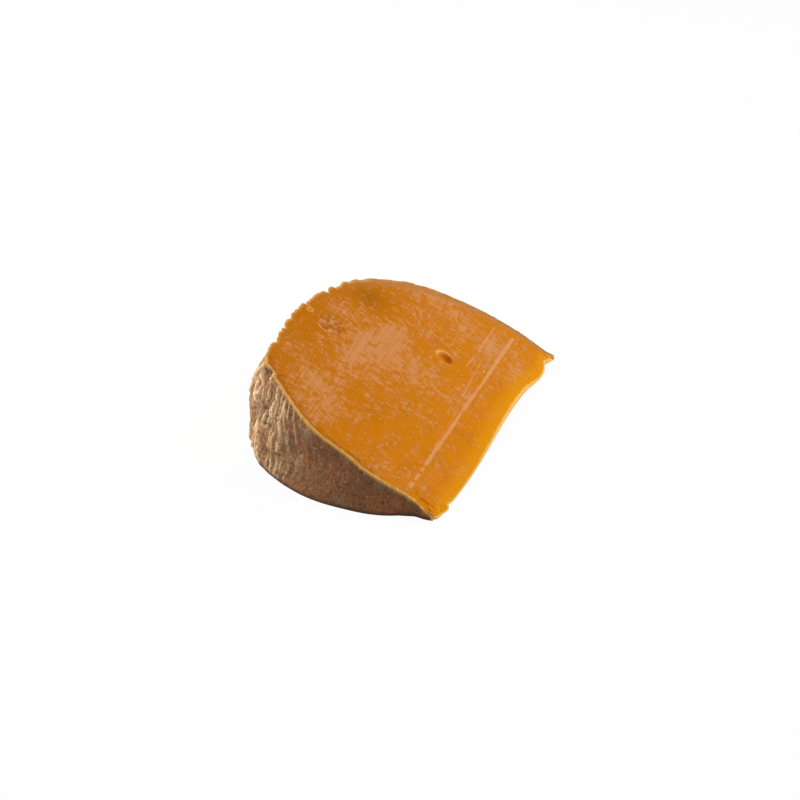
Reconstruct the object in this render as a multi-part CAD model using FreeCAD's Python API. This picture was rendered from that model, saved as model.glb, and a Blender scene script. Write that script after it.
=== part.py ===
"""A wedge of aged ball cheese, lying on one of its two knife cuts.

The ball stands on a flat base, with a tall dome above and a core line from the base's middle to the
dome's top. Two knife cuts that meet at the core line free a wedge like a segment of an orange. Here
the wedge lies on the lower cut: the core line is its thin edge and runs along +Y from the base end
to the dome end, the rind is towards -X, and +Z is up. The origin is on the surface that the wedge
rests on, under the middle of its box. Lengths are in millimetres and angles in degrees.
"""

import FreeCAD
import Part
import math
import os

from FreeCAD import Vector

# ---- The ball ------------------------------------------------------------------------------------
BALL_RADIUS = 99.4           # core line to the rind at the widest circle
BASE_HEIGHT = 54.6           # widest circle down to the flat base
DOME_HEIGHT = 91.2           # widest circle up to the top of the dome
BASE_SQUARENESS = 3.5        # exponent of the profile from the base to the widest circle
DOME_SQUARENESS = 2.35       # exponent of the profile from the widest circle to the dome's top
DIMPLE_DEPTH = 1.2           # hollow in the middle of the base
DIMPLE_RADIUS = 16.0
SAG_DEPTH = 6.7              # the base's swollen part, beside the lower cut
SAG_REACH = 43.5             # core line to the middle of the swollen part
SAG_RADIUS = 36.5
SAG_THICKNESS = 10.0         # how far the swollen part goes up from the lower cut
FLANK_LOSS = 7.5             # how much less the ball's radius is at the lower cut than at the upper
SWELL_HEIGHT = 4.6           # a broad lump of the flank
SWELL_RADIUS = 20.0
SWELL_LATITUDE = -10.0       # its middle, up from the widest circle
SWELL_TURN = 9.0             # its middle, up from the lower cut

# ---- The rind's relief -----------------------------------------------------------------------------
LUMP_HEIGHT = 0.45           # slow swells of the whole rind
LUMP_LENGTH = 43.0           # from crest to crest, slanting one way
LUMP_CROSS_LENGTH = 58.0     # and the other way
FURROW_SPACING = 9.4         # furrows that run round the ball, from cut to cut
FURROW_DEPTH = 0.6           # to either side of the rind's mean surface
FURROW_FADE = 0.35           # share of the depth that comes and goes along the furrows
FURROW_FADE_LENGTH = 62.0
FURROW_WANDER = 2.0          # how far a furrow strays towards the base or the dome
FURROW_WANDER_LENGTH = 47.0
BELT_LATITUDE = 8.0          # middle of the furrowed belt, up from the widest circle
BELT_HALF_WIDTH = 52.0       # from there to the latitudes where the furrows are gone
BELT_FADE = 32.0             # how long they take to go
PIT_COUNT = 20               # mite-eaten hollows scattered over the belt
PIT_RADIUS = 3.6
PIT_DEPTH = 0.9
CALM_FROM = 0.15             # relief grows between these shares of the way from a pole's direction
CALM_TO = 0.65               # to the widest circle's, so that the thin edge's ends are plain

# ---- The knife cuts ----------------------------------------------------------------------------------
WEDGE_ANGLE = 29.0           # between the lower and the upper cut
CUT_MISS = 1.8               # how far above the core line the upper cut passes
STEP_NEAR = 9.8              # core line to the knife's step in the upper cut, at the base end
STEP_FAR = 20.5              # the same at the dome end
STEP_TURN = 2.0              # how much steeper the upper cut is between the step and the thin edge

# ---- The worn thin edge, as places across the core line ------------------------------------------------
EDGE_OFFSET = 0.6            # the thin edge's mean line past the core line
EDGE_WAVE = 1.7              # its slow S, to either side
EDGE_WAVE_LENGTH = 150.0
EDGE_CREST = 29.0            # base end to the S's first crest
CORNER_LOSS = 2.8            # paste crumbled from the base end's corner
CORNER_LENGTH = 6.5
EDGE_LOBES = (               # distance from the base end, half-width, how far it stands proud
    (9.4, 2.6, 0.9),
    (125.5, 9.0, 1.6),
)
EDGE_BITES = (               # distance from the base end, half-width, depth
    (13.4, 1.8, 0.6),
    (138.5, 3.4, 1.6),
)

# ---- The eye, the dent and the cracks --------------------------------------------------------------------
EYE_DIAMETER = 8.6
EYE_SUNK = 1.7               # the eye's centre below the upper cut
EYE_FROM_CORE = 37.7         # along the cut
EYE_FROM_BASE = 93.6         # along the core line
DENT_WIDTH = 26.0            # shallow dish near the upper cut's rim
DENT_DEPTH = 0.5
DENT_FROM_CORE = 75.0
DENT_FROM_BASE = 103.0
RIM_CRACKS = (               # distance from the base along the core line, width, depth
    (66.2, 2.0, 3.4),
    (82.6, 3.4, 1.8),
    (88.4, 2.2, 1.5),
)
CRACK_LENGTH = 17.0          # how far a crack runs down the rind from the rim
CRACK_OVERRUN = 3.0          # how far its cutter stands out of the cheese

# ---- How the rind's surface is laid out --------------------------------------------------------------------
ROW_ANGLE = 2.0              # between rows, from the base round the rind to the dome
COLUMN_ANGLE = 3.5           # between columns, from cut to cut
ROW_REACH = 102.0            # rows run past both ends of the core line
COLUMN_MARGIN = 12.0         # columns run past both cuts
TIP_BEYOND = 40.0            # the sector's small end lies this far past the thin edge
TIP_SIZE = 0.1               # of the rind's size
EDGE_POINT_GAP = 2.0         # between the points of the thin edge's line
CLEAR = 60.0                 # how far cutters reach past the cheese

GOLDEN_ANGLE = math.pi * (3.0 - math.sqrt(5.0))

length = BASE_HEIGHT + DOME_HEIGHT
whole_turn = math.radians(WEDGE_ANGLE)
half_turn = whole_turn / 2
along_core = Vector(0, 1, 0)
to_rind = Vector(-math.cos(half_turn), 0, math.sin(half_turn))
across_wedge = Vector(math.sin(half_turn), 0, math.cos(half_turn))
up_the_cut = Vector(-math.cos(whole_turn), 0, math.sin(whole_turn))
off_the_cut = Vector(math.sin(whole_turn), 0, math.cos(whole_turn))


def smooth(value):
    """0 below 0, 1 above 1 and an S between them."""
    t = min(1.0, max(0.0, value))
    return t * t * (3.0 - 2.0 * t)


def bump(distance, radius):
    """A bell of height 1 that has all but gone at twice its radius."""
    return math.exp(-((distance / radius) ** 2))


def wave(distance, repeat):
    """A sine of height 1 that repeats after a length."""
    return math.sin(2 * math.pi * distance / repeat)


def pit_places():
    """Latitude and turn of each pit, in radians: even steps up the belt, golden steps round it."""
    places = []
    for i in range(PIT_COUNT):
        share = 2.0 * (i + 0.5) / PIT_COUNT - 1.0
        latitude = math.radians(BELT_LATITUDE + BELT_HALF_WIDTH * share)
        turn = whole_turn * (i * GOLDEN_ANGLE / math.pi % 1.0)
        places.append((latitude, turn))
    return places


PITS = pit_places()


def relief(latitude, turn):
    """Height of the rind's swell, lumps, furrows and pits. The latitude is up from the widest circle
    and the turn is up from the lower cut, both in radians."""
    up = BALL_RADIUS * latitude
    aside = BALL_RADIUS * turn * math.cos(latitude)

    def distance_to(place_latitude, place_turn):
        across = (turn - place_turn) * math.cos(latitude)
        return BALL_RADIUS * math.hypot(latitude - place_latitude, across)

    swell_place = math.radians(SWELL_LATITUDE), math.radians(SWELL_TURN)
    swell = SWELL_HEIGHT * bump(distance_to(*swell_place), SWELL_RADIUS)
    lumps = LUMP_HEIGHT * (wave(up + aside, LUMP_LENGTH) + wave(up - aside, LUMP_CROSS_LENGTH))
    stray = FURROW_WANDER * wave(up + aside, FURROW_WANDER_LENGTH)
    strength = 1.0 - FURROW_FADE * (1.0 + wave(up - aside, FURROW_FADE_LENGTH))
    furrows = FURROW_DEPTH * strength * wave(up + stray, FURROW_SPACING)
    pits = PIT_DEPTH * min(1.0, sum(bump(distance_to(*place), PIT_RADIUS) for place in PITS))
    off_middle = abs(math.degrees(latitude) - BELT_LATITUDE)
    belt = smooth((BELT_HALF_WIDTH - off_middle) / BELT_FADE)
    return swell + lumps + belt * (furrows - pits)


def rind_point(row, column):
    """The rind's point in a direction from the ball's centre. The row turns from the base to the
    dome and the column from cut to cut, both from the middle of the rind. Each profile is a
    superellipse, and the sag and the dimple then move the base along the core line."""
    flat = to_rind * math.cos(math.radians(row)) + along_core * math.sin(math.radians(row))
    ray = flat * math.cos(math.radians(column)) + across_wedge * math.sin(math.radians(column))
    out = math.hypot(ray.x, ray.z)
    turn = math.atan2(ray.z, -ray.x)
    on_dome = ray.y > 0
    height = DOME_HEIGHT if on_dome else BASE_HEIGHT
    power = DOME_SQUARENESS if on_dome else BASE_SQUARENESS
    to_lower_cut = min(1.0, max(0.0, 1.0 - turn / whole_turn))
    radius = BALL_RADIUS - FLANK_LOSS * to_lower_cut * out
    reach = ((out / radius) ** power + (abs(ray.y) / height) ** power) ** (-1.0 / power)
    calm = smooth((out - CALM_FROM) / (CALM_TO - CALM_FROM))
    point = ray * (reach + calm * relief(math.atan2(ray.y, out), turn))
    if not on_dome:
        from_core = math.hypot(point.x, point.z)
        sag = SAG_DEPTH * bump(from_core - SAG_REACH, SAG_RADIUS) * bump(point.z, SAG_THICKNESS)
        point.y += DIMPLE_DEPTH * bump(from_core, DIMPLE_RADIUS) - sag
    return point


def angles(reach, pitch):
    """Even angles from -reach to +reach, about one pitch apart."""
    gaps = round(2 * reach / pitch)
    return [reach * (2.0 * i / gaps - 1.0) for i in range(gaps + 1)]


def interpolated(grid):
    """The smooth surface through a grid of points."""
    surface = Part.BSplineSurface()
    surface.interpolate(grid)
    return surface


def ball_sector():
    """The ball round the wedge, as a solid: the rind's surface, a small copy of it past the thin edge
    and four ruled walls between their borders."""
    tip = to_rind * -TIP_BEYOND
    rows = angles(ROW_REACH, ROW_ANGLE)
    columns = angles(WEDGE_ANGLE / 2 + COLUMN_MARGIN, COLUMN_ANGLE)
    rind_grid = [[rind_point(row, column) for column in columns] for row in rows]
    tip_grid = [[tip + (point - tip) * TIP_SIZE for point in line] for line in rind_grid]
    rind = interpolated(rind_grid)
    small = interpolated(tip_grid)
    faces = [rind.toShape(), small.toShape()]
    first_row, last_row, first_column, last_column = rind.bounds()
    tip_first_row, tip_last_row, tip_first_column, tip_last_column = small.bounds()
    borders = (
        (rind.uIso(first_row), small.uIso(tip_first_row)),
        (rind.uIso(last_row), small.uIso(tip_last_row)),
        (rind.vIso(first_column), small.vIso(tip_first_column)),
        (rind.vIso(last_column), small.vIso(tip_last_column)),
    )
    for far, near in borders:
        faces.append(Part.makeRuledSurface(far.toShape(), near.toShape()))
    shell = Part.makeShell(faces)
    shell.sewShape()
    solid = Part.makeSolid(shell)
    if solid.Volume < 0:
        solid.reverse()
    return solid


def prism(corners, run):
    """A closed polygon pushed along a vector."""
    return Part.Face(Part.makePolygon(corners + [corners[0]])).extrude(run)


def on_upper_cut(from_core, from_base):
    """A point of the upper cut, by its distances from the core line and from the base."""
    return up_the_cut * from_core + off_the_cut * CUT_MISS + along_core * (from_base - BASE_HEIGHT)


def below_lower_cut():
    """All that the lower cut takes away."""
    span = BALL_RADIUS + CLEAR
    corner = Vector(-span, -BASE_HEIGHT - CLEAR, -span)
    return Part.makeBox(2 * span, length + 2 * CLEAR, span, corner)


def above_upper_cut():
    """All above the main part of the upper cut."""
    lift = off_the_cut * (BALL_RADIUS + CLEAR)
    low = on_upper_cut(-CLEAR, -CLEAR)
    high = on_upper_cut(BALL_RADIUS + CLEAR, -CLEAR)
    return prism([low, high, high + lift, low + lift], along_core * (length + 2 * CLEAR))


def above_edge_strip():
    """The thin slice between the main part of the upper cut and its steeper strip, which runs from
    the knife's step to past the thin edge."""
    near = on_upper_cut(STEP_NEAR, 0)
    along_step = (on_upper_cut(STEP_FAR, length) - near).normalize()
    to_edge = off_the_cut.cross(along_step).normalize()
    if to_edge.dot(up_the_cut) > 0:
        to_edge = -to_edge
    down = -off_the_cut * math.tan(math.radians(STEP_TURN))
    start = near - along_step * CLEAR
    outer = start + to_edge * CLEAR
    corners = [start, outer + down * CLEAR, outer + off_the_cut, start + off_the_cut]
    return prism(corners, along_step * (length + 2 * CLEAR))


def edge_place(from_base):
    """Where the thin edge lies across the core line, at a distance from the base."""
    slow = EDGE_WAVE * math.cos(2 * math.pi * (from_base - EDGE_CREST) / EDGE_WAVE_LENGTH)
    lobes = sum(proud * bump(from_base - at, width) for at, width, proud in EDGE_LOBES)
    bites = sum(depth * bump(from_base - at, width) for at, width, depth in EDGE_BITES)
    crumbled = CORNER_LOSS * (1.0 - smooth(from_base / CORNER_LENGTH + 0.5))
    return EDGE_OFFSET + slow + lobes - bites - crumbled


def beyond_thin_edge():
    """All that wear took from the thin edge, past an upright wall on a wavy line."""
    span = length + 2 * CLEAR
    count = round(span / EDGE_POINT_GAP)
    places = [span * i / count - CLEAR for i in range(count + 1)]
    line = [Vector(edge_place(place), place - BASE_HEIGHT, -CLEAR) for place in places]
    curve = Part.BSplineCurve()
    curve.interpolate(line)
    far_corner = line[-1] + Vector(CLEAR, 0, 0)
    near_corner = line[0] + Vector(CLEAR, 0, 0)
    sides = [curve.toShape(), Part.makeLine(line[-1], far_corner)]
    sides += [Part.makeLine(far_corner, near_corner), Part.makeLine(near_corner, line[0])]
    return Part.Face(Part.Wire(sides)).extrude(Vector(0, 0, 2 * CLEAR))


def eye():
    """The round hole that a gas bubble left, opened by the upper cut."""
    centre = on_upper_cut(EYE_FROM_CORE, EYE_FROM_BASE) - off_the_cut * EYE_SUNK
    return Part.makeSphere(EYE_DIAMETER / 2, centre)


def dent():
    """A shallow dish in the upper cut, as part of a large ball."""
    radius = (DENT_WIDTH ** 2 / 4 + DENT_DEPTH ** 2) / (2 * DENT_DEPTH)
    dish = on_upper_cut(DENT_FROM_CORE, DENT_FROM_BASE)
    return Part.makeSphere(radius, dish + off_the_cut * (radius - DENT_DEPTH))


def rim_crack(from_base, width, depth):
    """A V-shaped crack that opens the upper cut's rim and dies out down the rind, because its floor
    is straight and the ball is round."""
    rim = [rind_point(row, WEDGE_ANGLE / 2) for row in angles(BELT_HALF_WIDTH, ROW_ANGLE / 8)]
    mouth = min(rim, key=lambda point: abs(point.y + BASE_HEIGHT - from_base))
    outward = Vector(mouth)
    outward.y *= (BALL_RADIUS / length * 2) ** 2
    outward.normalize()
    sideways = off_the_cut.cross(outward).normalize()
    top = mouth + off_the_cut * CRACK_OVERRUN
    spread = sideways * (width / 2 * (depth + CRACK_OVERRUN) / depth)
    outer = top + outward * CRACK_OVERRUN
    return prism([top - outward * depth, outer + spread, outer - spread], -off_the_cut * CRACK_LENGTH)


def wedge():
    """The ball's sector less what the cuts, the wear, the eye, the dent and the cracks take away."""
    cutters = [beyond_thin_edge(), below_lower_cut(), above_upper_cut(), above_edge_strip()]
    cutters += [rim_crack(*crack) for crack in RIM_CRACKS]
    cutters += [dent(), eye()]
    solid = ball_sector()
    for cutter in cutters:
        solid = solid.cut(cutter)
    return max(solid.Solids, key=lambda piece: piece.Volume)


def stand_on_origin(solid):
    """Moves a solid so that the origin is under the middle of its box."""
    box = solid.optimalBoundingBox(True, False)
    under = Vector((box.XMin + box.XMax) / 2, (box.YMin + box.YMax) / 2, box.ZMin)
    print("core line at x", round(-under.x, 3), "widest circle at y", round(-under.y, 3))
    solid.translate(-under)
    return solid


os.makedirs("parts", exist_ok=True)
cheese = stand_on_origin(wedge())
cheese.exportStep("parts/cheese_wedge.step")
size = cheese.optimalBoundingBox(True, False)
print("valid", cheese.isValid(), "solids", len(cheese.Solids), "faces", len(cheese.Faces))
print("volume in ml", round(cheese.Volume / 1000, 1))
print("size", round(size.XLength, 2), round(size.YLength, 2), round(size.ZLength, 2))
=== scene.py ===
"""Dresses a wedge of aged ball cheese: an orange paste under a brown, furrowed rind.

The wedge lies on its lower knife cut. The ball's core line is its thin edge and runs along +Y, from
the base end to the dome end; the rind is towards -X and +Z is up. Shapes are worked out in
millimetres about the ball's own centre, which is the place on the core line at the widest circle,
and then moved to the frame's place in metres.
"""

import math
from types import SimpleNamespace

import bmesh
import bpy
import numpy as np
from bpy.props import FloatProperty, FloatVectorProperty, IntProperty, PointerProperty
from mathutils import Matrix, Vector


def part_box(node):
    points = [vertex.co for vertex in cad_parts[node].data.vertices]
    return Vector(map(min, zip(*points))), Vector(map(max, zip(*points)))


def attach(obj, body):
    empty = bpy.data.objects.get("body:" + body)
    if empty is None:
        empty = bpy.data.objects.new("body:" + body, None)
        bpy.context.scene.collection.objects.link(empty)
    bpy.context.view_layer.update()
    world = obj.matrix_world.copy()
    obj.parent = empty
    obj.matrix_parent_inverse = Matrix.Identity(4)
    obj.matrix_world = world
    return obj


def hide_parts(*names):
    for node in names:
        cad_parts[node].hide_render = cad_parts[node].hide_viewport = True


bl_info = {
    "name": "Aged Ball Cheese Wedge",
    "version": (1, 0, 0),
    "blender": (4, 5, 0),
    "location": "View3D > Sidebar > Cheese",
    "description": "Builds the paste and the rind of a wedge cut from an aged ball cheese",
    "category": "Object",
}

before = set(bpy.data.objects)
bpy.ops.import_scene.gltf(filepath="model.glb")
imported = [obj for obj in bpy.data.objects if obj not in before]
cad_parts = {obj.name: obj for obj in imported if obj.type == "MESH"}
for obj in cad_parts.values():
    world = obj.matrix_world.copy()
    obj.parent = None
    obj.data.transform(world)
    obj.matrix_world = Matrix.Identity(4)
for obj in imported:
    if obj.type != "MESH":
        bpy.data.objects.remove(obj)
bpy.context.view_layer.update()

MM = 0.001
BODY = "root"
NODE = "cheese_wedge"

# ---- The ball and its cuts, as the frame has them, in millimetres and degrees --------------------
BALL_RADIUS = 99.4
BASE_HEIGHT = 54.6
DOME_HEIGHT = 91.2
BASE_SQUARENESS = 3.5
DOME_SQUARENESS = 2.35
DIMPLE_DEPTH = 1.2
DIMPLE_RADIUS = 16.0
SAG_DEPTH = 6.7
SAG_REACH = 43.5
SAG_RADIUS = 36.5
SAG_THICKNESS = 10.0
FLANK_LOSS = 7.5
SWELL_HEIGHT = 4.6
SWELL_RADIUS = 20.0
SWELL_LATITUDE = -10.0
SWELL_TURN = 9.0
LUMP_HEIGHT = 0.45
LUMP_LENGTH = 43.0
LUMP_CROSS_LENGTH = 58.0
FURROW_SPACING = 9.4
FURROW_DEPTH = 0.6
FURROW_FADE = 0.35
FURROW_FADE_LENGTH = 62.0
FURROW_WANDER = 2.0
FURROW_WANDER_LENGTH = 47.0
PIT_COUNT = 20
PIT_DEPTH = 0.9
PIT_RADIUS = 3.6
BELT_LATITUDE = 8.0
BELT_HALF_WIDTH = 52.0
BELT_FADE = 32.0
CALM_FROM = 0.15
CALM_TO = 0.65
WEDGE_ANGLE = 29.0
CUT_MISS = 1.8
STEP_TURN = 2.0
EDGE_OFFSET = 0.6
EDGE_WAVE = 1.7
EDGE_WAVE_LENGTH = 150.0
EDGE_CREST = 29.0
CORNER_LOSS = 2.8
CORNER_LENGTH = 6.5
# The thin edge's lobes and bites: from the base, their reach either way, and how proud or deep.
EDGE_LOBES = ((9.4, 2.6, 0.9), (125.5, 9.0, 1.6))
EDGE_BITES = ((13.4, 1.8, 0.6), (138.5, 3.4, 1.6))
EYE_FROM_CORE = 37.7
EYE_FROM_BASE = 94.0
DENT_FROM_CORE = 78.0
DENT_FROM_BASE = 100.5
DENT_WIDTH = 26.0
DENT_DEPTH = 0.5
# The cracks in the upper rim: from the base, width and depth.
RIM_CRACKS = ((66.2, 2.0, 3.4), (82.6, 3.4, 1.8), (88.4, 2.2, 1.5))
CRACK_LENGTH = 17.0

# ---- What the dressed wedge adds, in millimetres -------------------------------------------------
# The crease that the knife left: its distance from the core line at the base and at the dome.
CREASE_NEAR = 14.7
CREASE_FAR = 18.9
# A second thin line runs beside the crease, towards the rind, and starts this far from the base.
SECOND_LINE = 10.5
SECOND_FROM = 95.0
# How many more rings, as a share of the usual ones, the meshes have at a crack in the rim.
CRACK_CROWDING = 1.6
# The latitude, in degrees, from which the skin begins to look like the dome's.
DOME_FROM = 15.0
# Where the upper rim leaves the base and goes up the flank, along it from the base end.
FLANK_FROM = 98.0
# How far below the upper rim its small bites and its swell have faded.
BITE_FADE = 2.6
SWELL_FADE = 13.0
# The least height of the upper cut, where the thin edge is worn nearly away.
THINNEST = 0.4
# Between rims that are closer than this, what is tucked inside the cheese shrinks with the wedge.
FULL_CHORD = 14.0
# The knife's stroke, turned from the core line.
KNIFE_TURN = math.radians(4.0)
# Along the upper rim from the base end: how far the real rim stands outside the ball's even skin.
RIM_SWELL = (
    (0.0, 0.0), (4.0, -0.3), (8.0, -1.9), (15.0, -1.7), (20.0, 0.0), (26.0, 1.5), (35.0, 2.7),
    (57.0, 3.1), (66.0, 2.3), (77.0, 1.0), (84.0, 0.4), (91.0, 0.2), (94.0, 1.2), (100.0, 1.8),
    (104.0, 1.0), (108.0, -0.3), (113.0, 0.0), (140.0, -0.3), (149.0, 0.1), (157.0, 0.5),
    (160.0, 1.1), (165.0, 0.5), (172.0, 0.4), (180.0, 0.6), (184.0, -0.4), (200.0, -0.2),
    (208.0, 1.1), (217.0, 1.4), (226.0, 0.1), (236.0, -1.1), (254.0, -0.4), (270.0, -0.3),
    (288.6, -0.8),
)
# Small bites out of the rim: place along it, width and depth.
RIM_BITES = (
    (80.5, 3.0, 0.3), (89.6, 2.8, 0.7), (97.0, 1.8, 0.3), (105.0, 2.0, 0.4), (110.3, 3.6, 1.3),
    (114.2, 2.0, 0.3), (118.6, 3.2, 1.0), (122.2, 2.6, 0.8), (126.0, 2.2, 0.3), (129.6, 3.4, 0.7),
    (134.4, 2.6, 0.4), (138.2, 2.2, 0.3), (147.0, 3.0, 0.4), (169.0, 2.6, 0.5), (177.0, 3.0, 0.4),
    (184.0, 3.0, 0.3),
)
# The eye's raised lip, from its middle, in radii of the eye.
EYE_LIP = 1.2
# A small curl of paste beside the deepest notch: its place and the radii of its hollow and its rim.
CURL_FROM_CORE = 95.4
CURL_FROM_BASE = 64.5
CURL_HOLLOW = 0.8
CURL_RIM = 1.2
# The middle of the flaked hollow next to it.
FLAKE_FROM_CORE = 84.5
FLAKE_FROM_BASE = 65.0
# Where the painted shade in the dent is darkest: from the core, from the base, and the radius.
DENT_PAINTED_SHADE = (80.0, 98.0, 8.0)
# Where the knife smeared the cut more or less than elsewhere, and so the painted sheen with it:
# from the core, from the base, the patch's reach either way, and how much more.
PAINTED_SHEEN_PATCHES = (
    (64.0, 76.0, 15.0, 24.0, 0.85),
    (70.0, 22.0, 15.0, 16.0, 0.6),
    (52.0, 124.0, 24.0, 14.0, 0.5),
    (40.0, 72.0, 14.0, 16.0, 0.25),
    (26.0, 100.0, 10.0, 30.0, 0.3),
    (10.0, 118.0, 6.0, 16.0, 0.5),
    (78.0, 98.0, 11.0, 11.0, -0.9),
    (26.0, 96.0, 9.0, 10.0, -0.3),
)
# Pale flecks that the knife tore out: from the core, from the base, length and width.
CHIPS = (
    (32.1, 10.6, 2.2, 1.4), (28.7, 9.7, 2.0, 1.2), (25.7, 11.8, 2.6, 1.2), (22.0, 14.6, 3.6, 1.5),
    (21.4, 7.0, 2.2, 1.0), (70.8, 97.0, 0.8, 4.0), (88.0, 63.0, 3.0, 1.0), (86.0, 70.0, 2.6, 0.9),
)

# ---- The camera, in millimetres ------------------------------------------------------------------
# The place that it looks at, from the ball's centre, and its directions, distance and lens.
AIM = np.array((-41.1, 9.75, 12.5))
AZIMUTH = math.radians(22.43)
ELEVATION = math.radians(30.0)
DISTANCE = 958.4
LENS = 100.86
SENSOR = 36.0

# ---- The floor and the light, in metres and watts ------------------------------------------------
FLOOR_REACH = 1.5
# How white the floor is where it is seen; the rest is its own shading, which keeps the shadow.
FLOOR_WHITENESS = 0.93
# The sky's strength as light on the wedge.
SKY_LIGHT = 0.4
# Each lamp's name, place, width and power.
LAMPS = (
    ("key lamp", (-0.8, -0.05, 0.48), 0.35, 9.8),
    ("side lamp", (0.8, 0.3, 0.5), 0.5, 6.0),
)

# ---- Lines and planes that follow from the sizes -------------------------------------------------
LENGTH = BASE_HEIGHT + DOME_HEIGHT
WHOLE_TURN = math.radians(WEDGE_ANGLE)
UP_THE_CUT = np.array((-math.cos(WHOLE_TURN), 0.0, math.sin(WHOLE_TURN)))
OFF_THE_CUT = np.array((math.sin(WHOLE_TURN), 0.0, math.cos(WHOLE_TURN)))
ALONG_CORE = np.array((0.0, 1.0, 0.0))
# A place well inside both cuts.
MIDDLE = np.array((-35.0, 10.0, 0.0))


# ---- Numbers -------------------------------------------------------------------------------------


def smooth(value):
    """0 below 0, 1 above 1 and an S between them."""
    t = np.clip(value, 0.0, 1.0)
    return t * t * (3.0 - 2.0 * t)


def bump(distance, radius):
    """A bell of height 1 that has all but gone at twice its radius."""
    return np.exp(-((distance / radius) ** 2))


def wave(distance, repeat):
    """A sine of height 1 that repeats after a length."""
    return np.sin(2 * np.pi * distance / repeat)


def blend(first, second, share):
    """A straight mix of two values."""
    return first + (second - first) * share


def scatter(column, row, seed):
    """A number between 0 and 1 for each corner of a square grid: its whole-number place and a seed,
    multiplied by large numbers, with the product's upper bits folded over its lower ones."""
    mixed = (column * 374761393 + row * 668265263 + seed * 974634777) & 0xFFFFFFFF
    mixed = ((mixed ^ (mixed >> 13)) * 1274126177) & 0xFFFFFFFF
    mixed = ((mixed ^ (mixed >> 16)) * 2246822519) & 0xFFFFFFFF
    return ((mixed ^ (mixed >> 15)) & 0xFFFFFF) / float(0x1000000)


def noise(x, y, seed):
    """Gradient noise, about -1 to 1, with features about 1 long: each corner of the square round a
    place leans in its own direction, and the leans are mixed by an S of the place in the square."""
    column, row = np.floor(x).astype(np.int64), np.floor(y).astype(np.int64)
    across, along = x - column, y - row
    shares = [t * t * t * (t * (t * 6 - 15) + 10) for t in (across, along)]

    def lean(step, rise):
        """How far the place is from a corner, measured along the corner's own direction."""
        angle = 2 * np.pi * scatter(column + step, row + rise, seed)
        return np.cos(angle) * (across - step) + np.sin(angle) * (along - rise)

    low = blend(lean(0, 0), lean(1, 0), shares[0])
    high = blend(lean(0, 1), lean(1, 1), shares[0])
    return 1.6 * blend(low, high, shares[1])


def layered(x, y, seed, layers=3):
    """Layers of noise, each half as strong and half as large as the one before."""
    return sum(noise(x * 2**i, y * 2**i, seed + i) * 0.5**i for i in range(layers))


def ridges(x, y, seed):
    """Sharp crests, 0 to 1, along the lines where noise is 0."""
    return (1.0 - np.minimum(1.0, np.abs(noise(x, y, seed)) * 1.7)) ** 2


def spots(x, y, seed, share, small, large):
    """Round spots with soft edges, 0 to 1: a share of the squares of a grid hold one, at a
    scattered place in the square and with a radius between small and large, in squares."""
    column, row = np.floor(x).astype(np.int64), np.floor(y).astype(np.int64)
    found = np.zeros(np.shape(x))
    for step in (-1, 0, 1):
        for rise in (-1, 0, 1):
            there = column + step, row + rise
            middle = there[0] + scatter(*there, seed), there[1] + scatter(*there, seed + 1)
            radius = blend(small, large, scatter(*there, seed + 2))
            present = scatter(*there, seed + 3) < share
            far = np.hypot(x - middle[0], y - middle[1])
            found = np.maximum(found, present * bump(far, radius))
    return found


# ---- The ball's form -----------------------------------------------------------------------------


def pit_places():
    """Latitude and turn of each broad pit, in radians."""
    step = np.arange(PIT_COUNT)
    share = 2.0 * (step + 0.5) / PIT_COUNT - 1.0
    latitude = np.radians(BELT_LATITUDE + BELT_HALF_WIDTH * share)
    turn = WHOLE_TURN * (step * (3.0 - math.sqrt(5.0)) % 1.0)
    return list(zip(latitude, turn))


def belt_strength(latitude):
    """1 on the furrowed belt round the widest circle, 0 away from it."""
    off_middle = np.abs(np.degrees(latitude) - BELT_LATITUDE)
    return smooth((BELT_HALF_WIDTH - off_middle) / BELT_FADE)


def main_relief(latitude, turn):
    """Height of the rind's swell, lumps, broad furrows and pits, as the frame has them."""
    up = BALL_RADIUS * latitude
    aside = BALL_RADIUS * turn * np.cos(latitude)

    def distance_to(place_latitude, place_turn):
        """Distance over the ball from a place on it."""
        across = (turn - place_turn) * np.cos(latitude)
        return BALL_RADIUS * np.hypot(latitude - place_latitude, across)

    to_swell = distance_to(math.radians(SWELL_LATITUDE), math.radians(SWELL_TURN))
    swell = SWELL_HEIGHT * bump(to_swell, SWELL_RADIUS)
    lumps = LUMP_HEIGHT * (wave(up + aside, LUMP_LENGTH) + wave(up - aside, LUMP_CROSS_LENGTH))
    stray = FURROW_WANDER * wave(up + aside, FURROW_WANDER_LENGTH)
    strength = 1.0 - FURROW_FADE * (1.0 + wave(up - aside, FURROW_FADE_LENGTH))
    furrows = FURROW_DEPTH * strength * wave(up + stray, FURROW_SPACING)
    pits = np.minimum(1.0, sum(bump(distance_to(*place), PIT_RADIUS) for place in pit_places()))
    return swell + lumps + belt_strength(latitude) * (furrows - PIT_DEPTH * pits)


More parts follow.
